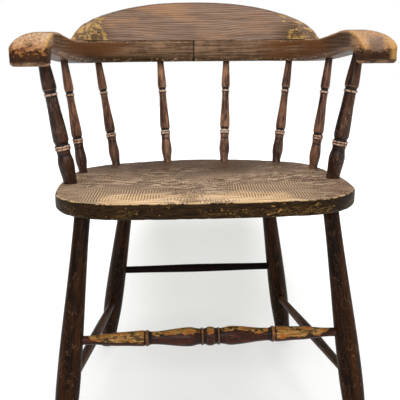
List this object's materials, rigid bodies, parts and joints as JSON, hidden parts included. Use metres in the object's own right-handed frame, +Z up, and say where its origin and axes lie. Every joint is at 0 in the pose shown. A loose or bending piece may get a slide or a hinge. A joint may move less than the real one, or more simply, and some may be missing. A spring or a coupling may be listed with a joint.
{
  "type": "low-back windsor armchair",
  "caption": "Wooden captain's armchair with a plank seat, turned splayed legs and stretchers, spindles, a bowed arm rail and a shaped crest, in dark worn and peeling paint.",
  "frame": {"origin": "on the floor, under the middle of the chair's overall box", "axes": "+Z up, -Y the way the sitter faces, +X to the right seen from in front; the YZ plane is the plane of symmetry"},
  "size_m": [0.6226, 0.507, 0.756],
  "materials": {
    "painted_wood": "dark brown grain-painted finish, satin, chipped and rubbed through on edges and rings",
    "seat_wood": "brown paint rubbed thin on top with combed grain lines, chipped dark edge",
    "rail_wood": "thin brown varnish over wide wood grain, bare yellow and pale patches where hands rubbed it",
    "worn_wood": "paint worn off to golden wood on the upper half, dark paint below",
    "screw_steel": "dull dark steel"
  },
  "bodies": {
    "root": {"leg_front_left": "painted_wood", "leg_front_right": "painted_wood", "leg_rear_left": "painted_wood", "leg_rear_right": "painted_wood", "stretcher_rear": "painted_wood", "stretcher_left": "painted_wood", "stretcher_right": "painted_wood", "post_left": "painted_wood", "post_right": "painted_wood", "spindle_side_left": "painted_wood", "spindle_side_right": "painted_wood", "spindle_corner_left": "painted_wood", "spindle_corner_right": "painted_wood", "spindle_back_left": "painted_wood", "spindle_back_right": "painted_wood", "seat": "seat_wood", "arm_left": "rail_wood", "arm_right": "rail_wood", "knuckle_left": "rail_wood", "knuckle_right": "rail_wood", "crest": "rail_wood", "stretcher_front": "worn_wood", "crest_screws": "screw_steel"}
  },
  "joints": []
}
